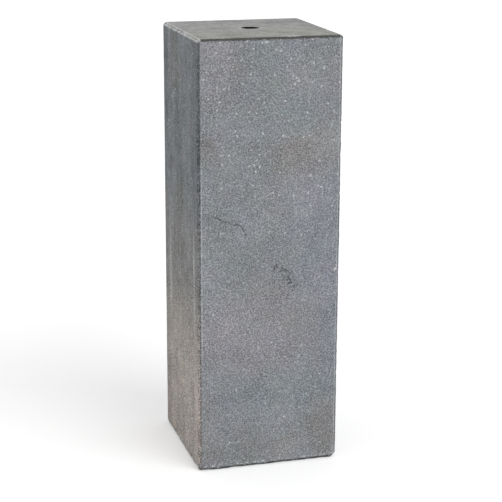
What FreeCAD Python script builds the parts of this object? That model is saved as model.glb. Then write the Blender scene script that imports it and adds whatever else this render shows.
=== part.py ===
import FreeCAD, Part
import math
import os

# Bluestone post: one sawn block of dark blue-grey limestone that stands on end.
# Its faces are flat, every arris has a narrow chamfer, and a dowel hole is drilled
# down the middle of the top. Three corners are knocked.
# All sizes are in mm. +Z is up, the front face looks along -Y, and the origin is
# the middle of the foot.

# the block
side = 200.0
height = 600.0
arris = 3.0               # how far a chamfer cuts back each of the two faces that it joins

# the dowel hole
hole_diameter = 25.0
hole_depth = 110.0        # from the top face to the end of the straight wall
mouth_ease = 0.8          # the worn edge of the mouth, cut at 45 degrees
drill_point_angle = 130.0 # the full angle that the drill's tip leaves at the bottom, in degrees

# the knocked corners, each depth taken from the sharp corner inwards
foot_knock_depth = 4.6    # front right corner of the foot
near_knock_depth = 4.0    # front left corner of the foot
top_knock_depth = 4.2     # back left corner of the top
knock_radius = 22.0       # how gently each break is hollowed


def sawn_block():
    corner = FreeCAD.Vector(-side / 2, -side / 2, 0)
    block = Part.makeBox(side, side, height, corner)
    return block.makeChamfer(arris, block.Edges)


def dowel_hole():
    # half of the hole's section, from its axis outwards, turned once round the axis
    hole_radius = hole_diameter / 2
    point_depth = hole_radius / math.tan(math.radians(drill_point_angle / 2))
    wall_end = height - hole_depth
    section = [
        FreeCAD.Vector(0, 0, height + mouth_ease),
        FreeCAD.Vector(hole_radius + 2 * mouth_ease, 0, height + mouth_ease),
        FreeCAD.Vector(hole_radius, 0, height - mouth_ease),
        FreeCAD.Vector(hole_radius, 0, wall_end),
        FreeCAD.Vector(0, 0, wall_end - point_depth),
    ]
    outline = Part.makePolygon(section + section[:1])
    face = Part.Face(outline)
    return face.revolve(FreeCAD.Vector(0, 0, 0), FreeCAD.Vector(0, 0, 1), 360)


def knocked_corner(across, along, up, depth):
    # a shallow hollow, scooped out of one corner by a ball that stands off outside it
    corner = FreeCAD.Vector(across * side / 2, along * side / 2, height * (1 + up) / 2)
    outward = FreeCAD.Vector(across, along, up).normalize()
    centre = corner + outward * (knock_radius - depth)
    return Part.makeSphere(knock_radius, centre)


def stone_post():
    front, back = -1, 1
    left, right = -1, 1
    foot, top = -1, 1
    post = sawn_block().cut(dowel_hole())
    post = post.cut(knocked_corner(right, front, foot, foot_knock_depth))
    post = post.cut(knocked_corner(left, front, foot, near_knock_depth))
    return post.cut(knocked_corner(left, back, top, top_knock_depth))


os.makedirs("parts", exist_ok=True)
post = stone_post()
print("solids", len(post.Solids), "valid", post.isValid(), "volume", round(post.Volume))
post.Solids[0].exportStep("parts/stone_post.step")
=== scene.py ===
# Bluestone post: one sawn block of blue-grey limestone, with a dowel hole in its top.
# Lengths are in metres. +Z is up, the front face looks along -Y and the left face along -X.
import math
import random

import bmesh
import bpy
from mathutils import Matrix, Vector, noise


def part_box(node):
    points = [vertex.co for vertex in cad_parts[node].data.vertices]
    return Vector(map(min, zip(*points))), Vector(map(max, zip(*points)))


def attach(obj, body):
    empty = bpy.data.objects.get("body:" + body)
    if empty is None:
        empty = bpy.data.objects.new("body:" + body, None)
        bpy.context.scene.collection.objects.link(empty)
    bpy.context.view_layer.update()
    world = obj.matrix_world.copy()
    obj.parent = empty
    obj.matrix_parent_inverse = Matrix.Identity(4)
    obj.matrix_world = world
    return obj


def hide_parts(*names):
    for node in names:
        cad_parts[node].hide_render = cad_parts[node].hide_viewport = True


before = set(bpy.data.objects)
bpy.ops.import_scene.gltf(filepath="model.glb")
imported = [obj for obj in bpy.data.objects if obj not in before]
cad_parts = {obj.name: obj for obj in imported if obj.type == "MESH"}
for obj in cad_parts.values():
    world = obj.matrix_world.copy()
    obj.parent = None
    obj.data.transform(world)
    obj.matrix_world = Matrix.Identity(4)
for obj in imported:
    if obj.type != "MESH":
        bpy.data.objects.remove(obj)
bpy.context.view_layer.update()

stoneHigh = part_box("stone_post")[1]
halfSide = stoneHigh.x
height = stoneHigh.z
mm = 0.001
hair = 0.01 * mm
close = 0.1 * mm         # this near to a face or an axis, a point lies on it


# the shape of the stone

block = {
    "columns": 60,          # faces across each side
    "rows": 280,            # faces up the post
    "crowdAcross": 1.33,    # how much closer the rows and columns lie towards the arrises
    "crowdUp": 1.15,
    "arris": 3.0 * mm,      # how far the chamfers cut back each face
    "waver": 0.4 * mm,      # how much a worn chamfer's width comes and goes
    "waverSize": 22 * mm,
    "ragged": 0.32 * mm,
    "raggedSize": 3.5 * mm,
    "roughBreak": 0.35 * mm,
    "roughBreakSize": 2.6 * mm,
    "widestCut": 9 * mm,    # no chamfer or chip cuts back more than this
    "fullCut": 0.7 * mm,    # from here on the finish takes a cut for a whole chamfer
    "turnIn": 3 * mm,       # nearer than this to an arris a point sinks in from both faces
    "dishing": 0.32 * mm,   # how far the sawn faces wander inwards
    "dishingSize": 95 * mm,
    "ripple": 0.05 * mm,
    "rippleSize": 9 * mm,
    "fineCuts": 3,          # how often a face is cut where the relief is fine
}

hole = {
    "radius": 12.5 * mm,
    "depth": 110 * mm,
    "ease": 0.8 * mm,
    "pointAngle": 130,      # of the drill's tip, in degrees
    "wallRings": 30,
    "patch": 23 * mm,       # half of the square of the top that is laid out again round the hole
    "patchRings": 5,
    "drillRings": 0.12 * mm,
    "drillRingSize": 4 * mm,
}

knocks = [                  # corner, how deep the break goes from the sharp corner, how gently it is hollowed
    {"corner": (1, -1, 0), "depth": 6.4 * mm, "radius": 22 * mm},
    {"corner": (-1, -1, 0), "depth": 4.0 * mm, "radius": 22 * mm},
    {"corner": (-1, 1, 1), "depth": 4.2 * mm, "radius": 22 * mm},
]

chips = {
    # the breaks that show: which arris, the middle along it, the half length, the extra bite
    "placed": [
        ("front top", 29 * mm, 11 * mm, 1.5 * mm),
        ("front top", -62 * mm, 9 * mm, 1.0 * mm),
        ("front top", -25 * mm, 6 * mm, 0.8 * mm),
        ("front top", 88 * mm, 8 * mm, 1.3 * mm),
        ("front left", 516 * mm, 9 * mm, 0.9 * mm),
        ("front left", 128 * mm, 7 * mm, 0.9 * mm),
        ("front left", 8 * mm, 12 * mm, 2.4 * mm),
        ("front right", 437 * mm, 7 * mm, 1.3 * mm),
        ("front right", 272 * mm, 10 * mm, 1.2 * mm),
        ("front right", 168 * mm, 8 * mm, 1.0 * mm),
        ("front foot", -92 * mm, 12 * mm, 2.2 * mm),
        ("front foot", -48 * mm, 8 * mm, 1.3 * mm),
        ("front foot", -18 * mm, 6 * mm, 1.1 * mm),
        ("front foot", 22 * mm, 7 * mm, 1.4 * mm),
        ("front foot", 60 * mm, 5 * mm, 0.9 * mm),
        ("left top", 78 * mm, 10 * mm, 1.4 * mm),
        ("left top", -30 * mm, 8 * mm, 0.8 * mm),
        ("left foot", -84 * mm, 10 * mm, 1.8 * mm),
        ("back left", 322 * mm, 10 * mm, 1.2 * mm),
    ],
    "strays": 4,            # more small ones on each arris, by chance
    "strayLength": (2.5 * mm, 6 * mm),
    "strayBite": (0.4 * mm, 1.2 * mm),
    "roundness": 0.7,       # how full a chip's outline is
    "seed": 11,
}

pitGroup = {                # the open pits right of the middle of the front
    "route": [(8 * mm, 287 * mm), (24 * mm, 281 * mm), (28 * mm, 269 * mm), (34 * mm, 258 * mm)],
    "spread": 7 * mm,
    "count": 30,
    "radius": (0.6 * mm, 1.25 * mm),
    "depth": 0.9 * mm,
    "steepness": 1.6,       # of the walls of a pit
    "fineWithin": 8 * mm,
    "dark": 1.3,            # how dark the finish makes them
    "seed": 5,
}

vein = {                    # the hairline crack on the left of the front
    "route": [(-93 * mm, 365 * mm), (-76 * mm, 363 * mm), (-66 * mm, 357 * mm), (-54 * mm, 352 * mm),
              (-43 * mm, 350 * mm), (-38 * mm, 345 * mm), (-34 * mm, 336 * mm)],
    "width": 0.85 * mm,
    "depth": 0.4 * mm,
    "fineWithin": 2.6 * mm,
    "plainFrom": -76 * mm,  # left of this it is faint
    "faint": 0.35,
    "fadeOut": 8 * mm,
    "fadeIn": 12 * mm,
    "jog": 1.2 * mm,
    "jogSize": 5 * mm,
    "gaps": (0.65, 0.6, 3 * mm),        # how deep it is on average, how much that varies, over what length
    "wander": (5 * mm, 6 * mm),         # size and amount of the bends in its dark line
    "darkWidth": 1.0 * mm,
    "dark": 0.7,
}

sides = {"left": (0, -1), "right": (0, 1), "front": (1, -1), "back": (1, 1), "foot": (2, -1), "top": (2, 1)}


def crowded(share, crowd):
    # a share from -1 to 1, drawn towards its ends
    return math.sin(crowd * share) / math.sin(crowd)


def sawnGrid():
    bm = bmesh.new()
    bmesh.ops.create_cube(bm, size=2)
    for axis, count in ((2, block["rows"]), (0, block["columns"]), (1, block["columns"])):
        across = [e for e in bm.edges if abs(e.verts[0].co[axis] - e.verts[1].co[axis]) > 1]
        bmesh.ops.subdivide_edges(bm, edges=across, cuts=count - 1, use_grid_fill=True)
    for v in bm.verts:
        x, y = (halfSide * crowded(v.co[axis], block["crowdAcross"]) for axis in (0, 1))
        v.co = Vector((x, y, height / 2 * (1 + crowded(v.co.z, block["crowdUp"]))))
    return bm


def drillHole(bm):
    # clears a square of the top, turns the hole's section once round, and joins the two rims
    square = hole["patch"]
    bm.normal_update()
    cleared = [f for f in bm.faces if f.normal.z > 0.9 and max(map(abs, f.calc_center_median().xy)) < square]
    bmesh.ops.delete(bm, geom=cleared, context="FACES")
    rim = [e for e in bm.edges if e.is_boundary]

    floorLevel = height - hole["depth"]
    wallTop = height - hole["ease"]
    section = [(hole["radius"] + hole["ease"], height), (hole["radius"], wallTop)]
    for ring in range(1, hole["wallRings"] + 1):
        section.append((hole["radius"], wallTop + (floorLevel - wallTop) * ring / hole["wallRings"]))
    pointDepth = hole["radius"] / math.tan(math.radians(hole["pointAngle"] / 2))
    for share in (0.66, 0.33, 0):
        section.append((hole["radius"] * share, floorLevel - pointDepth * (1 - share)))
    points = [bm.verts.new((r, 0, z)) for r, z in section]
    lines = [bm.edges.new(pair) for pair in zip(points, points[1:])]
    bmesh.ops.spin(bm, geom=points + lines, cent=(0, 0, 0), axis=(0, 0, 1), angle=math.tau,
                   steps=len(rim), use_merge=True)
    tip = [v for v in bm.verts if v.co.xy.length < close and height / 2 < v.co.z < wallTop]
    bmesh.ops.remove_doubles(bm, verts=tip, dist=hair)

    mouth = [e for e in bm.edges if e.is_boundary and e not in rim]
    joined = bmesh.ops.bridge_loops(bm, edges=rim + mouth)
    spokes = [e for e in joined["edges"] if abs(e.verts[0].co.xy.length - e.verts[1].co.xy.length) > mm]
    bmesh.ops.subdivide_edges(bm, edges=spokes, cuts=hole["patchRings"], use_grid_fill=True)
    bmesh.ops.recalc_face_normals(bm, faces=bm.faces)


def toRoute(x, z, route):
    # distance from a place on the front face to a line of points on it
    here = Vector((x, z))
    nearest = 1.0
    for a, b in zip(route, route[1:]):
        a, b = Vector(a), Vector(b)
        share = max(0.0, min(1.0, (here - a).dot(b - a) / (b - a).length_squared))
        nearest = min(nearest, (here - a.lerp(b, share)).length)
    return nearest


def refineFront(bm, route, reach, cuts):
    # smaller faces on the front near a route, for relief that is finer than the grid
    chosen = {}             # a dictionary keeps the edges in the same order in each run
    for f in bm.faces:
        c = f.calc_center_median()
        if c.y < -halfSide + close and toRoute(c.x, c.z, route) < reach:
            chosen.update(dict.fromkeys(f.edges))
    bmesh.ops.subdivide_edges(bm, edges=list(chosen), cuts=cuts, use_grid_fill=True)


def arrisOf(words):
    # the two faces that meet there, in the order of the axes
    return tuple(sorted(sides[word] for word in words.split()))


def allChips():
    found = {}
    for words, middle, reach, bite in chips["placed"]:
        found.setdefault(arrisOf(words), []).append((middle, reach, bite))
    luck = random.Random(chips["seed"])
    pairs = [(a, b) for a in sides.values() for b in sides.values() if a[0] < b[0]]
    for pair in sorted(pairs):
        along = ({0, 1, 2} - {pair[0][0], pair[1][0]}).pop()
        low, high = (0, height) if along == 2 else (-halfSide, halfSide)
        for stray in range(chips["strays"] * (2 if along == 2 else 1)):
            middle = luck.uniform(low, high)
            found.setdefault(pair, []).append(
                (middle, luck.uniform(*chips["strayLength"]), luck.uniform(*chips["strayBite"])))
    return found


def wornWidth(pair, along, allOfThem):
    # how far this arris cuts back here, and how much of that is a chip;
    # each arris reads the noise along a lane of its own
    lane = 7.3 * (pair[0][0] * 4 + pair[1][0] * 2) + 3.1 * pair[0][1] + 1.7 * pair[1][1]
    waver = noise.noise(Vector((along / block["waverSize"], lane, 0)))
    ragged = noise.noise(Vector((along / block["raggedSize"], lane, 5)))
    bite = 0.0
    for middle, reach, depth in allOfThem.get(pair, ()):
        near = 1 - ((along - middle) / reach) ** 2
        if near > 0:
            bite = max(bite, depth * near ** chips["roundness"])
    return block["arris"] + block["waver"] * waver + block["ragged"] * ragged + bite, bite


def pits():
    luck = random.Random(pitGroup["seed"])
    found = []
    for number in range(pitGroup["count"]):
        step = luck.random() * (len(pitGroup["route"]) - 1)
        a, b = pitGroup["route"][int(step)], pitGroup["route"][int(step) + 1]
        middle = Vector(a).lerp(Vector(b), step % 1)
        middle += Vector((luck.gauss(0, 0.5), luck.gauss(0, 0.5))) * pitGroup["spread"]
        found.append((middle, luck.uniform(*pitGroup["radius"])))
    return found


def wear(bm):
    # moves every point inwards to the worn surface, and notes what it lies on for the finish
    onArris = bm.verts.layers.float.new("arris")
    onChip = bm.verts.layers.float.new("chip")
    onPit = bm.verts.layers.float.new("pit")
    allOfThem = allChips()
    openPits = pits()
    centre = Vector((0, 0, height / 2))
    half = Vector((halfSide, halfSide, height / 2))
    for v in bm.verts:
        place = v.co.copy()
        fromAxis = place.xy.length
        if fromAxis < hole["radius"] + hole["ease"] + hair and place.z > height / 2:
            rough = noise.noise(place / hole["drillRingSize"]) + 1
            if fromAxis > mm:
                v.co.xy *= 1 + hole["drillRings"] * rough / fromAxis
            continue
        outward = [1 if place[axis] > centre[axis] else -1 for axis in range(3)]
        gap = [half[axis] - abs(place[axis] - centre[axis]) for axis in range(3)]
        cut = 0.0
        bitten = 0.0
        for turn in range(3):
            for a, b in ((0, 1), (0, 2), (1, 2)):
                if gap[a] + gap[b] > block["widestCut"]:
                    continue
                along = place[3 - a - b]
                width, bite = wornWidth(((a, outward[a]), (b, outward[b])), along, allOfThem)
                short = width - gap[a] - gap[b]
                if short > 0:
                    gap[a] += short / 2
                    gap[b] += short / 2
                    cut = max(cut, short)
                    bitten = max(bitten, bite)
        worn = Vector(centre[axis] + outward[axis] * (half[axis] - gap[axis]) for axis in range(3))
        for knock in knocks:
            sign = Vector((knock["corner"][0], knock["corner"][1], knock["corner"][2] * 2 - 1))
            corner = Vector((sign.x * halfSide, sign.y * halfSide, height * knock["corner"][2]))
            ball = corner + sign.normalized() * (knock["radius"] - knock["depth"])
            if (worn - ball).length < knock["radius"]:
                worn = ball + (worn - ball).normalized() * knock["radius"]
                cut = block["arris"]
                bitten = max(bitten, mm)
        sink = block["dishing"] * (0.5 + 0.5 * noise.noise(place / block["dishingSize"]))
        sink += block["ripple"] * (0.5 + 0.5 * noise.noise(place / block["rippleSize"]))
        if cut > 0:
            sink += block["roughBreak"] * (0.5 + noise.noise(place / block["roughBreakSize"]))
        hollow = 0.0
        if gap[1] < close and outward[1] < 0:
            for middle, radius in openPits:
                near = 1 - (Vector((place.x, place.z)) - middle).length / radius
                hollow = max(hollow, min(1.0, pitGroup["steepness"] * near))
            sink += pitGroup["depth"] * hollow
            jog = noise.noise(place / vein["jogSize"]) * vein["jog"]
            line = 1 - toRoute(place.x, place.z + jog, vein["route"]) / vein["width"]
            if line > 0:
                line *= min(1.0, vein["faint"] + max(0.0, place.x - vein["plainFrom"]) / vein["fadeIn"])
                average, varies, over = vein["gaps"]
                line *= average + varies * noise.noise(place / over)
                sink += vein["depth"] * line
                hollow = max(hollow, line)
        inward = Vector(-outward[axis] * max(0.0, 1 - gap[axis] / block["turnIn"]) for axis in range(3))
        v.co = worn + inward.normalized() * max(0.0, sink)
        v[onArris] = min(1.0, cut / block["fullCut"])
        v[onChip] = min(1.0, bitten / mm) if cut > 0 else 0.0
        v[onPit] = hollow


def stoneMesh():
    bm = sawnGrid()
    drillHole(bm)
    for feature in (pitGroup, vein):
        refineFront(bm, feature["route"], feature["fineWithin"], block["fineCuts"])
    wear(bm)
    bmesh.ops.recalc_face_normals(bm, faces=bm.faces)
    for f in bm.faces:
        f.smooth = True
    mesh = bpy.data.meshes.new("stone")
    bm.to_mesh(mesh)
    bm.free()
    return mesh


stone = bpy.data.objects.new("bluestone_post", stoneMesh())
bpy.context.scene.collection.objects.link(stone)
triangles = sum(len(p.vertices) - 2 for p in stone.data.polygons)
print("stone", len(stone.data.vertices), "points", triangles, "triangles")


# writing finishes

def tone(red, green, blue):
    # a colour as it looks on a screen, 0 to 255, as the shader's own numbers
    levels = (v / 255 for v in (red, green, blue))
    return tuple(v / 12.92 if v < 0.04045 else ((v + 0.055) / 1.055) ** 2.4 for v in levels) + (1.0,)


class Value:
    # one output socket, so that a pattern is written as a sum
    def __init__(self, finish, socket):
        self.finish = finish
        self.socket = socket

    def maths(self, operation, *others):
        inputs = {0: self}
        for place, other in enumerate(others, 1):
            inputs[place] = other
        return self.finish.add("ShaderNodeMath", {"operation": operation}, inputs)

    def __add__(self, other):
        return self.maths("ADD", other)

    def __sub__(self, other):
        return self.maths("SUBTRACT", other)

    def __mul__(self, other):
        return self.maths("MULTIPLY", other)

    def __rsub__(self, other):
        return self.finish.add("ShaderNodeMath", {"operation": "SUBTRACT"}, {0: other, 1: self})

    __radd__ = __add__
    __rmul__ = __mul__

    def most(self, other):
        return self.maths("MAXIMUM", other)

    def least(self, other):
        return self.maths("MINIMUM", other)

    def rise(self, low, high):
        # 0 below low, 1 above high, and smooth between; a high under low turns it round
        settings = {"interpolation_type": "SMOOTHSTEP", "clamp": True}
        if low < high:
            return self.finish.add("ShaderNodeMapRange", settings, {0: self, 1: low, 2: high})
        return 1 - self.finish.add("ShaderNodeMapRange", settings, {0: self, 1: high, 2: low})


class Finish:
    def __init__(self, name):
        self.material = bpy.data.materials.new(name)
        self.material.use_nodes = True
        self.nodes = self.material.node_tree.nodes
        self.links = self.material.node_tree.links
        self.nodes.clear()
        self.place = self.add("ShaderNodeTexCoord", out="Object")

    def add(self, kind, settings=None, inputs=None, out=0):
        node = self.nodes.new(kind)
        for name, value in (settings or {}).items():
            setattr(node, name, value)
        for name, value in (inputs or {}).items():
            if isinstance(value, Value):
                self.links.new(value.socket, node.inputs[name])
            else:
                node.inputs[name].default_value = value
        return Value(self, node.outputs[out])

    def stretched(self, x, y, z):
        return self.add("ShaderNodeMapping", {"vector_type": "POINT"},
                        {"Vector": self.place, "Scale": (x, y, z)})

    def cloud(self, size, detail, roughness, shift, place=None):
        # soft noise from about -1 to 1, with marks of this size in metres
        at = place or self.place
        if shift:
            at = self.add("ShaderNodeMapping", {"vector_type": "POINT"},
                          {"Vector": at, "Location": (shift, shift, 0)})
        fog = self.add("ShaderNodeTexNoise", {"noise_dimensions": "3D", "normalize": True},
                       {"Vector": at, "Scale": 1 / size, "Detail": detail, "Roughness": roughness}, "Fac")
        return (fog - 0.5) * 4

    def spots(self, spacing, place=None):
        # distance to scattered points, in shares of their spacing, and three random numbers for each point
        node = self.add("ShaderNodeTexVoronoi", None,
                        {"Vector": place or self.place, "Scale": 1 / spacing}, "Distance").socket.node
        each = self.add("ShaderNodeSeparateColor", None, {0: Value(self, node.outputs["Color"])}).socket.node
        return Value(self, node.outputs["Distance"]), [Value(self, output) for output in each.outputs]

    def axes(self, place=None):
        node = self.add("ShaderNodeSeparateXYZ", None, {0: place or self.place}).socket.node
        return [Value(self, output) for output in node.outputs]

    def noted(self, name):
        return self.add("ShaderNodeAttribute", {"attribute_type": "GEOMETRY", "attribute_name": name},
                        out="Fac")

    def blend(self, share, first, second):
        # the first colour where the share is 0, and the second where it is 1
        return self.add("ShaderNodeMix", {"data_type": "RGBA"}, {0: share, 6: first, 7: second}, 2)

    def scaled(self, colour, by):
        # a colour made lighter or darker by a pattern
        return self.add("ShaderNodeVectorMath", {"operation": "SCALE"}, {0: colour, "Scale": by})

    def tinted(self, colour, size, amount):
        # a colour, or a place, pushed about by soft noise that differs between its three parts
        push = self.add("ShaderNodeTexNoise", None, {"Vector": self.place, "Scale": 1 / size}, "Color")
        push = self.add("ShaderNodeVectorMath", {"operation": "SUBTRACT"}, {0: push, 1: (0.5, 0.5, 0.5)})
        push = self.scaled(push, amount)
        return self.add("ShaderNodeVectorMath", {"operation": "ADD"}, {0: colour, 1: push})

    def done(self, shader):
        output = self.nodes.new("ShaderNodeOutputMaterial")
        self.links.new(shader.socket, output.inputs[0])
        return self.material


# the stone's finish

palette = {
    "rock": tone(132, 135, 139),
    "pink": tone(143, 138, 143),
    "lilac": tone(128, 131, 145),
    "green": tone(128, 133, 133),
    "teal": tone(122, 133, 139),
    "tan": tone(143, 137, 130),
    "brown": tone(116, 112, 107),
    # the left face's two darker tones hold painted shade: the face is turned from the light
    "leftTop": tone(106, 111, 115),
    "leftMiddleShaded": tone(118, 118, 117),
    "warm": tone(167, 160, 154),
    "rosy": tone(169, 155, 147),
    "topStone": tone(145, 145, 144),
    "topGreen": tone(144, 144, 137),
    "fleck": tone(205, 208, 209),
    "pitDark": tone(58, 60, 62),
    # the dark of the chamfer dirt and of the painted shadow along the foot
    "grimeAndShadow": tone(50, 50, 49),
    "chip": tone(182, 184, 184),
    "rubbed": tone(226, 227, 226),
    "holeWall": tone(30, 30, 30),
}

patterns = {                # size of the marks, detail, roughness, and a shift to another part of the noise
    "wide": (110 * mm, 3, 0.5, 0),
    "broad": (70 * mm, 3, 0.55, 3.1),
    "patchy": (32 * mm, 3, 0.6, 7.7),
    "mottle": (12 * mm, 3, 0.6, 1.9),
    "small": (6 * mm, 2, 0.6, 6.1),
    "grain": (2.1 * mm, 2, 0.7, 5.3),
    "fine": (1.0 * mm, 2, 0.7, 9.1),
    "streaks": (9 * mm, 3, 0.6, 2.2),
    "longRuns": (28 * mm, 3, 0.6, 4.4),
}

breakUp = {                 # strengths of two patterns that break up a line, and where their sum rises
    "lines": (0.7, 0.5, -0.6, 0.4),
    "footShadowDashes": (1.0, 0.5, -0.4, 0.0),
    "crack": (0.5, 0.3, -0.75, 0.1),
    "chips": (1.0, 1.0, -0.1, 1.0),
}

hues = {
    "maskInset": 2.2 * mm,  # how far the masks of the faces reach round the arrises
    "pinkClouds": 0.4,
    "greenClouds": 0.6,
    "frontPatches": 0.6,    # of each patch's own strength
    "raggedEdge": (0.7, 0.4),           # how the patchy pattern and the mottle break up the patches
    "topTurnsGreen": (20 * mm, -85 * mm),
    "topWander": 30 * mm,
    "shifts": [(35 * mm, 0.025), (9 * mm, 0.014)],      # size and amount of the small shifts of hue
}

leftFace = {                # two heights, or places along the face, between which each change comes in
    "middleTone": (420 * mm, 290 * mm),
    "warmTone": (290 * mm, 130 * mm),
    "rosyTone": (200 * mm, 50 * mm),
    "rosyClouds": (-0.2, 0.8),
    "rosyShare": 0.7,
    "squeeze": 0.12,        # the streaks are read this much slower upwards, so they run long
    "runsWander": 40 * mm,
    "patchesWander": 25 * mm,
    "drips": [              # pale runs: middle y and z, reach along and up, ragged edge, strength
        ((-76, 260, 4, 70), 0.5, 1.0),
        ((64, 235, 8, 70), 0.6, 0.6),
    ],
    "dripShare": 0.75,
    "stain": (22, 556, 30, 44),
    "stainShare": 0.35,
    "backShade": (55 * mm, 100 * mm),
    "nearShade": (-72 * mm, -96 * mm),
    "nearShadeUp": (300 * mm, 420 * mm),
    "nearShadeShare": 0.35,
    "shade": 0.25,
}

lights = {                  # how strongly each pattern makes the stone lighter and darker
    "wide": 0.09,
    "patchy": 0.13,
    "mottle": 0.055,
    "fine": 0.7,
    "crystals": 1.2,
    "crystalSize": 2.3 * mm,
    "moreGrainLeft": 0.5,
    "lessGrainRight": 0.1,
    "lessGrainTop": 0.35,
    "sideRuns": 0.36,
    "sidePatches": 0.2,
    "sideMottle": 0.24,
    "sideStreaks": 0.2,
    "smootherLowDown": 0.5,
    "smootherRight": 0.5,
    "topPatches": 0.2,
    "topMottle": 0.16,
    "topFalls": 0.14,       # darker towards the far corner
    "topFallsOver": 160 * mm,
    # painted shade along the foot
    "foot": 0.1,
}

scatter = {                 # spacing, the edge of each spot in shares of it, which spots show, strength
    "wander": (2.4 * mm, 5.5 * mm),
    "flecks": (6.2 * mm, (0.3, 0.12), (0.95, 1.0), 0.8),
    "dust": (3.6 * mm, (0.3, 0.1), (0.88, 1.0), 0.6),
    "specks": (5.5 * mm, (0.26, 0.1), (0.88, 1.0), 0.5),
    "richAbove": (300 * mm, 500 * mm),
    "richWander": 80 * mm,
    "richness": 0.05,
    "markBend": 0.7 * mm,
    "markRagged": 0.4 * mm,
}

openPores = {               # small dark pores among the pits
    "darkest": 0.95,        # of pits, pores and crack together
    "spacing": 4.4 * mm,
    "edge": (0.46, 0.25),
    "reach": 9 * mm,
    "dark": 0.9,
}

edges = {                   # darkening, dirt, wear, painted shadow and a painted highlight along the arrises; a line has an offset, a half width, a strength
    # how much darker the chamfers are, most along the front top
    "darkFrontTop": 1.2,
    # in the foot chamfer the darkening is painted shadow as well as dirt
    "footDirtAndShade": 0.7,
    "chamferDark": 0.3,           # on the others, apart from the near one
    "chamferDarkMottle": (0.3, 0.9),
    "cleanSide": 0.6,
    "dirtAndShade": 0.92,
    "nearLine": (0.0, 1.2 * mm, 0.75),
    "rightLine": (1.2 * mm, 1.2 * mm, 1.0),
    "topLine": (0.0, 1.5 * mm, 1.0),
    # painted shadow: broken dark dashes along the foot of the front and left faces
    "footShadowLine": (0.0, 2.4 * mm, 1.0),
    "chips": 0.5,
    "darkOnChips": 0.7,
    "rubbedTop": (0.8 * mm, 2.0 * mm, 1.0),
    "rubbedSide": (-0.2 * mm, 1.9 * mm, 1.0),
    "rubbed": 0.85,
    # painted highlight: a pale line on the front beside the near arris
    "nearHighlight": (2.2 * mm, 0.9 * mm, 0.7),
    "nearHighlightUp": (140 * mm, 200 * mm),
    "nearHighlightEnds": (470 * mm, 400 * mm),
    "wornRight": (-1.2 * mm, 0.9 * mm, 0.6),
    "wornFoot": (3.6 * mm, 1.8 * mm, 0.9),
    "wornFootGaps": (-0.1, 0.5),
    "wornTop": (3.0 * mm, 3.4 * mm, 1.2),
    "wornTopMiddle": 28 * mm,
    "wornTopReach": 22 * mm,
    "worn": 0.8,
}

holeMouth = {               # the top round the hole, rubbed paler
    "halo": (5.5 * mm, 1.5 * mm),
    "haloRagged": 0.6 * mm,
    "haloShare": 0.38,
    "wallEdge": 0.5 * mm,
    "wallAbove": (300 * mm, 350 * mm),
}

surface = {
    "roughness": 0.72,
    "grainRoughness": 0.05,
    "honedGloss": 0.08,
    "topGloss": 0.14,
    "shine": 0.35,
    "bump": 0.55,
    "bumpHeight": 0.35 * mm,
    "grainRelief": 0.35,
    "fineRelief": 0.2,
    "mottleRelief": 0.3,
    "speckRelief": 1.2,
    "fleckRelief": 0.2,
}

frontMarks = [              # pale fossil marks: x, z, half length and half width in mm, tilt in degrees
    (-6, 593.5, 3.4, 1.1, 8), (-32, 596, 0.9, 2.8, -20), (51, 498, 1.5, 1.3, 0), (-69, 517, 1.7, 1.2, 30),
    (-19, 437, 2.4, 1.0, 40), (-23, 431, 1.6, 1.0, -30), (-15, 428, 2.2, 1.1, 60), (-20, 422, 1.5, 1.3, 0),
    (-29, 430, 1.2, 1.0, 0), (33, 386, 2.4, 0.8, 60), (53, 389, 2.8, 0.9, 80), (72, 396, 2.2, 1.2, 10),
    (67, 398, 1.4, 1.0, 0), (-1, 338, 2.4, 0.7, 55), (57, 371, 1.4, 1.0, 0), (52, 358, 1.1, 1.1, 0),
    (94, 279, 1.7, 2.8, -35), (80, 509, 1.4, 1.1, 0), (20, 515, 1.3, 1.2, 0), (-91, 547, 1.6, 1.3, 0),
]

frontPatches = [            # soft patches on the front: tint, strength, middle x and z, reach across and up
    ("tan", 0.75, 57, 443, 44, 34), ("brown", 0.7, -86, 455, 10, 20), ("brown", 0.3, -20, 453, 34, 14),
    ("pink", 0.55, -66, 560, 36, 50), ("pink", 0.45, 84, 540, 26, 26), ("green", 0.6, -10, 545, 50, 60),
    ("teal", 0.55, 38, 502, 24, 26), ("green", 0.6, -40, 298, 50, 60), ("lilac", 0.7, 62, 348, 34, 86),
    ("pink", 0.9, -16, 198, 74, 66), ("lilac", 0.7, 86, 198, 14, 80), ("teal", 0.5, 16, 107, 70, 26),
    ("brown", 0.7, 82, 44, 24, 44), ("brown", 0.4, -20, 30, 60, 26), ("brown", 0.3, -90, 60, 20, 70),
]


def markMask(x, z, marks):
    # the marks are given in mm
    mask = 0.0
    for middleX, middleZ, long, wide, tilt in marks:
        c, s = math.cos(math.radians(tilt)), math.sin(math.radians(tilt))
        dx, dz = x - middleX * mm, z - middleZ * mm
        u = (dx * c + dz * s) * (1 / (long * mm))
        w = (dz * c - dx * s) * (1 / (wide * mm))
        mask = (u * u + w * w).rise(1.5, 0.3).most(mask)
    return mask


def trail(x, z, route, reach):
    # 1 on a line of points on the front, falling to 0 at its reach
    mask = 0.0
    for (ax, az), (bx, bz) in zip(route, route[1:]):
        dx, dz = bx - ax, bz - az
        square = dx * dx + dz * dz
        share = ((x - ax) * (dx / square) + (z - az) * (dz / square)).most(0.0).least(1.0)
        u = x - ax - share * dx
        w = z - az - share * dz
        mask = ((u * u + w * w) * (1 / (reach * reach))).rise(1.0, 0.05).most(mask)
    return mask


def strip(across, middle, reach):
    # 1 along the middle of a strip, falling to 0 at its reach
    return ((across - middle) * (1 / reach)).maths("ABSOLUTE").rise(1.0, 0.35)


def edgeStrip(across, edge, where):
    offset, reach, strength = where
    return strip(across, edge + offset, reach) * strength


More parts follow.
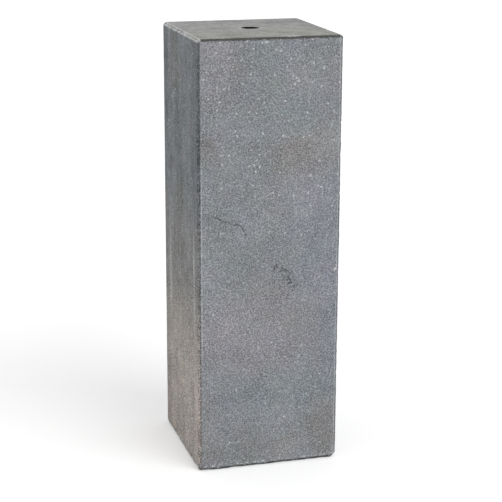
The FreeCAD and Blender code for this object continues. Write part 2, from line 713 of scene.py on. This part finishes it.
def patch(x, z, middleX, middleZ, reachX, reachZ, edge):
    # a soft patch on a face, from 1 in its middle to 0, with its outline broken up by edge; sizes in mm
    u = (x - middleX * mm) * (1 / (reachX * mm))
    w = (z - middleZ * mm) * (1 / (reachZ * mm))
    return (u * u + w * w + edge).rise(2.2, -0.4)


def brokenUp(first, second, kind):
    firstShare, secondShare, low, high = breakUp[kind]
    return (first * firstShare + second * secondShare).rise(low, high)


def scattered(f, kind, wander, channel, more=0.0):
    # small spots, of which those with a high random number show
    spacing, edge, shown, _ = scatter[kind]
    near, each = f.spots(spacing, wander)
    return near.rise(*edge) * (each[channel] + more).rise(*shown)


def bluestone():
    f = Finish("bluestone")
    x, y, z = f.axes()
    inset = hues["maskInset"]
    front = y.rise(-halfSide + 2 * inset, -halfSide + inset)
    left = x.rise(-halfSide + 2 * inset, -halfSide + inset)
    right = x.rise(halfSide - 2 * inset, halfSide - inset)
    top = z.rise(height - 2 * inset, height - inset)
    foot = z.rise(2 * inset, inset)
    honed = left.most(right)

    wide = f.cloud(*patterns["wide"])
    broad = f.cloud(*patterns["broad"])
    patchy = f.cloud(*patterns["patchy"])
    mottle = f.cloud(*patterns["mottle"])
    small = f.cloud(*patterns["small"])
    grain = f.cloud(*patterns["grain"])
    fine = f.cloud(*patterns["fine"])
    crystal = f.spots(lights["crystalSize"])[0] - 0.5

    # the rock's own colour, in soft clouds
    base = f.blend(wide.rise(0.0, 1.0) * hues["pinkClouds"], palette["rock"], palette["pink"])
    base = f.blend(broad.rise(0.0, 1.0) * hues["greenClouds"], base, palette["green"])
    patchyShare, mottleShare = hues["raggedEdge"]
    edge = patchy * patchyShare + mottle * mottleShare
    for tint, strength, *where in frontPatches:
        share = patch(x, z, *where, edge) * front * (strength * hues["frontPatches"])
        base = f.blend(share, base, palette[tint])

    # the left face runs from dark at the top to warm at the foot, and its darker tones hold painted shade of
    # a face turned from the light; its streaks are on the right face too
    runs = f.stretched(1, 1, leftFace["squeeze"])
    streaks = f.cloud(*patterns["streaks"], runs)
    longRuns = f.cloud(*patterns["longRuns"], runs)
    level = z + longRuns * leftFace["runsWander"] + patchy * leftFace["patchesWander"]
    warmth = level.rise(*leftFace["warmTone"])
    side = f.blend(level.rise(*leftFace["middleTone"]), palette["leftTop"], palette["leftMiddleShaded"])
    side = f.blend(warmth, side, palette["warm"])
    rosy = level.rise(*leftFace["rosyTone"]) * broad.rise(*leftFace["rosyClouds"])
    side = f.blend(rosy * leftFace["rosyShare"], side, palette["rosy"])
    drip = 0.0
    for where, ragged, strength in leftFace["drips"]:
        drip = (patch(y, z, *where, edge * ragged) * strength).most(drip)
    side = f.blend(drip * leftFace["dripShare"], side, palette["chip"])
    stain = patch(y, z, *leftFace["stain"], edge)
    side = f.blend(stain * leftFace["stainShare"], side, palette["brown"])
    base = f.blend(left, base, side)
    topTint = (y - broad * hues["topWander"]).rise(*hues["topTurnsGreen"])
    base = f.blend(top, base, f.blend(topTint, palette["topStone"], palette["topGreen"]))
    for size, amount in hues["shifts"]:
        base = f.tinted(base, size, amount)

    # light and dark within the colour, with painted shade along the foot and at the edges of the left face
    coarse = 1 - right * lights["lessGrainRight"] + left * lights["moreGrainLeft"]
    coarse = coarse * (1 - top * lights["lessGrainTop"])
    lift = 1 + wide * lights["wide"] + patchy * lights["patchy"] + mottle * lights["mottle"]
    lift = lift + (fine * lights["fine"] + crystal * lights["crystals"]) * coarse
    smoother = (1 - warmth * lights["smootherLowDown"]) * (1 - right * lights["smootherRight"])
    clouded = longRuns * lights["sideRuns"] + patchy * lights["sidePatches"]
    clouded = clouded + mottle * lights["sideMottle"] + streaks * lights["sideStreaks"]
    lift = lift + honed * clouded * smoother
    falls = (x + y).rise(0.0, lights["topFallsOver"]) * lights["topFalls"]
    lift = lift + top * (patchy * lights["topPatches"] + mottle * lights["topMottle"] - falls)
    nearShade = y.rise(*leftFace["nearShade"]) * z.rise(*leftFace["nearShadeUp"])
    shaded = y.rise(*leftFace["backShade"]).most(nearShade * leftFace["nearShadeShare"])
    lift = lift * (1 - left * shaded * leftFace["shade"])
    # painted shade: the stone is darker along its foot and underside
    lift = lift * (1 - foot * lights["foot"])

    # pale fossil flecks and dark specks
    wander = f.tinted(f.place, *scatter["wander"])
    rich = (z + broad * scatter["richWander"]).rise(*scatter["richAbove"]) * scatter["richness"]
    flecks = scattered(f, "flecks", wander, 1, rich)
    dust = scattered(f, "dust", wander, 1, rich * 2) * scatter["dust"][3]
    flecks = flecks.most(dust)
    markX = x + mottle * scatter["markBend"] + grain * scatter["markRagged"]
    markZ = z + small * scatter["markBend"]
    flecks = flecks.most(markMask(markX, markZ, frontMarks) * front)
    specks = scattered(f, "specks", wander, 0)

    colour = f.scaled(base, lift)
    colour = f.blend(specks * scatter["specks"][3] * coarse, colour, palette["pitDark"])
    colour = f.blend(flecks * scatter["flecks"][3] * coarse, colour, palette["fleck"])

    # the open pits and the hairline crack
    amongPits = trail(x, z, pitGroup["route"], openPores["reach"]) * front
    pores = f.spots(openPores["spacing"], wander)[0].rise(*openPores["edge"]) * amongPits
    across, _, up = f.axes(f.tinted(f.place, *vein["wander"]))
    clear = x.rise(vein["plainFrom"] - vein["fadeOut"], vein["plainFrom"] + vein["fadeIn"])
    clear = clear * (1 - vein["faint"]) + vein["faint"]
    crack = trail(across, up, vein["route"], vein["darkWidth"]) * front * clear
    crack = crack * brokenUp(small, mottle, "crack")
    dark = (f.noted("pit") * pitGroup["dark"]).most(pores * openPores["dark"]).most(crack * vein["dark"])
    colour = f.blend(dark.least(openPores["darkest"]), colour, palette["pitDark"])

    # arrises: darkening and dirt in the chamfers, with painted shadow in the foot chamfer and along the foot,
    # dark lines beside them, and paler stone where they are freshly chipped or worn, with a painted highlight
    # beside the near arris
    arris = f.noted("arris")
    chip = f.noted("chip")
    broken = brokenUp(grain, small, "lines")
    # the chamfers are darker, most along the front top; in the foot chamfer this is painted shadow as well as
    # dirt
    chamferDark = front * top * edges["darkFrontTop"] + foot * edges["footDirtAndShade"] + edges["chamferDark"]
    chamferDark = chamferDark - front * left * edges["chamferDark"]
    mottleShare, plain = edges["chamferDarkMottle"]
    dirtAndShade = arris * ((mottle * mottleShare + plain) * chamferDark).least(1.0)
    dirtAndShade = dirtAndShade * (1 - left * top * edges["cleanSide"])
    sideEdge = halfSide - block["arris"]
    topEdge = height - block["arris"]
    seam = edgeStrip(x, -sideEdge, edges["nearLine"]).most(edgeStrip(x, sideEdge, edges["rightLine"])) * front
    seam = seam.most(edgeStrip(z, topEdge, edges["topLine"]) * front)
    dirtAndShade = dirtAndShade.most(seam * broken)
    # painted shadow: broken dark dashes along the foot of the front and left faces
    footShadowBreaks = brokenUp(mottle, small, "footShadowDashes")
    dirtAndShade = dirtAndShade.most(edgeStrip(z, block["arris"], edges["footShadowLine"]) * front.most(left) * footShadowBreaks)
    colour = f.blend(dirtAndShade * edges["dirtAndShade"], colour, palette["grimeAndShadow"])
    fresh = chip * (1 - dirtAndShade * edges["darkOnChips"]) * brokenUp(grain, small, "chips")
    colour = f.blend(fresh * edges["chips"], colour, palette["chip"])
    rubbed = edgeStrip(x, -sideEdge, edges["rubbedTop"]) * top
    rubbed = rubbed.most(edgeStrip(z, topEdge, edges["rubbedSide"]) * left)
    colour = f.blend(rubbed * broken * edges["rubbed"], colour, palette["rubbed"])
    # painted highlight: the pale line on the front beside the near arris, about 200 to 400 mm up
    worn = edgeStrip(x, -sideEdge, edges["nearHighlight"]) * front
    worn = worn * z.rise(*edges["nearHighlightUp"]) * z.rise(*edges["nearHighlightEnds"])
    worn = worn.most(edgeStrip(x, sideEdge, edges["wornRight"]) * front)
    footGaps = small.rise(*edges["wornFootGaps"])
    worn = worn.most(edgeStrip(z, block["arris"], edges["wornFoot"]) * front * footGaps)
    middle = strip(x, edges["wornTopMiddle"], edges["wornTopReach"])
    worn = worn.most(edgeStrip(y, -sideEdge, edges["wornTop"]) * top * middle)
    colour = f.blend(worn * broken * edges["worn"], colour, palette["fleck"])

    # the mouth of the hole is rubbed paler, and the drilled wall is dark
    fromAxis = (x * x + y * y).maths("SQRT")
    rim = hole["radius"] + hole["ease"]
    outer, inner = holeMouth["halo"]
    halo = (fromAxis + small * holeMouth["haloRagged"]).rise(rim + outer, rim + inner) * top
    colour = f.blend(halo * holeMouth["haloShare"], colour, palette["rubbed"])
    inHole = fromAxis.rise(rim, rim - holeMouth["wallEdge"]) * z.rise(*holeMouth["wallAbove"])
    colour = f.blend(inHole, colour, palette["holeWall"])

    roughness = surface["roughness"] + grain * surface["grainRoughness"]
    roughness = roughness - honed * surface["honedGloss"] - top * surface["topGloss"]
    relief = grain * surface["grainRelief"] + fine * surface["fineRelief"] + mottle * surface["mottleRelief"]
    relief = relief - specks * surface["speckRelief"] - flecks * surface["fleckRelief"]
    bump = f.add("ShaderNodeBump", None,
                 {"Strength": surface["bump"], "Distance": surface["bumpHeight"], "Height": relief})
    shader = f.add("ShaderNodeBsdfPrincipled", None,
                   {"Base Color": colour, "Roughness": roughness, "Normal": bump,
                    "Specular IOR Level": surface["shine"]})
    return f.done(shader)


stone.data.materials.append(bluestone())
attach(stone, "root")
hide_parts("stone_post")
print("finish written")


# the floor, the light and the camera

studio = {
    "floorSize": 14.0,
    "floorColour": tone(250, 250, 250),
    "floorLift": 0.32,      # how much the floor glows where it is seen, so that it looks white
    "skyLight": 0.57,
    "sunFrom": (0.62, -1.0, 0.72),
    "sunWidth": 50,         # in degrees, so that the shadow is soft
    "sunPower": 1.33,
}

view = {                    # place in metres, turns in degrees, lens in mm
    "place": (-0.5621, -1.9711, 0.8487),
    "turn": -15.974,
    "dip": 15.384,
    "lean": 0.229,
    "lens": 107.57,
}


def floorFinish():
    f = Finish("paleFloor")
    # seen directly or in a reflection the floor is lifted to white, and it keeps the post's shadow
    plain = f.add("ShaderNodeBsdfDiffuse", None, {"Color": studio["floorColour"]})
    glow = f.add("ShaderNodeEmission", None, {"Strength": studio["floorLift"]})
    lifted = f.add("ShaderNodeAddShader", None, {0: plain, 1: glow})
    seen = f.add("ShaderNodeLightPath", None, None, "Is Camera Ray")
    for kind in ("Is Glossy Ray", "Is Transmission Ray"):
        seen = seen.most(f.add("ShaderNodeLightPath", None, None, kind))
    return f.done(f.add("ShaderNodeMixShader", None, {0: seen, 1: plain, 2: lifted}))


bm = bmesh.new()
bmesh.ops.create_grid(bm, x_segments=1, y_segments=1, size=studio["floorSize"] / 2)
floorMesh = bpy.data.meshes.new("floor")
bm.to_mesh(floorMesh)
bm.free()
floor = bpy.data.objects.new("floor", floorMesh)
bpy.context.scene.collection.objects.link(floor)
floorMesh.materials.append(floorFinish())

world = bpy.data.worlds.new("softLight")
bpy.context.scene.world = world
world.use_nodes = True
nodes, links = world.node_tree.nodes, world.node_tree.links
nodes.clear()
rays = nodes.new("ShaderNodeLightPath")
skyLight = nodes.new("ShaderNodeBackground")
skyLight.inputs["Strength"].default_value = studio["skyLight"]
seenWhite = nodes.new("ShaderNodeBackground")
seenWhite.inputs["Strength"].default_value = 1.0
mix = nodes.new("ShaderNodeMixShader")
worldOut = nodes.new("ShaderNodeOutputWorld")
for lamp in (skyLight, seenWhite):      # white light, and a white backdrop where it is seen
    lamp.inputs["Color"].default_value = (1, 1, 1, 1)
seen = rays.outputs["Is Camera Ray"]
for kind in ("Is Glossy Ray", "Is Transmission Ray"):
    either = nodes.new("ShaderNodeMath")
    either.operation = "MAXIMUM"
    links.new(seen, either.inputs[0])
    links.new(rays.outputs[kind], either.inputs[1])
    seen = either.outputs[0]
links.new(seen, mix.inputs[0])
links.new(skyLight.outputs[0], mix.inputs[1])
links.new(seenWhite.outputs[0], mix.inputs[2])
links.new(mix.outputs[0], worldOut.inputs[0])

sun = bpy.data.lights.new("sun", "SUN")
sun.angle = math.radians(studio["sunWidth"])
sun.energy = studio["sunPower"]
sunObject = bpy.data.objects.new("sun", sun)
bpy.context.scene.collection.objects.link(sunObject)
sunObject.rotation_mode = "QUATERNION"
sunObject.rotation_quaternion = Vector(studio["sunFrom"]).to_track_quat("Z", "Y")

camera = bpy.data.cameras.new("camera")
camera.sensor_width = 36
camera.lens = view["lens"]
cameraObject = bpy.data.objects.new("camera", camera)
bpy.context.scene.collection.objects.link(cameraObject)
turned = Matrix.Rotation(math.radians(view["turn"]), 4, "Z")
tilted = Matrix.Rotation(math.radians(90 - view["dip"]), 4, "X")
leaned = Matrix.Rotation(math.radians(view["lean"]), 4, "Z")
cameraObject.matrix_world = Matrix.Translation(Vector(view["place"])) @ turned @ tilted @ leaned
bpy.context.scene.camera = cameraObject
bpy.context.scene.view_settings.view_transform = "Standard"
print("studio set")
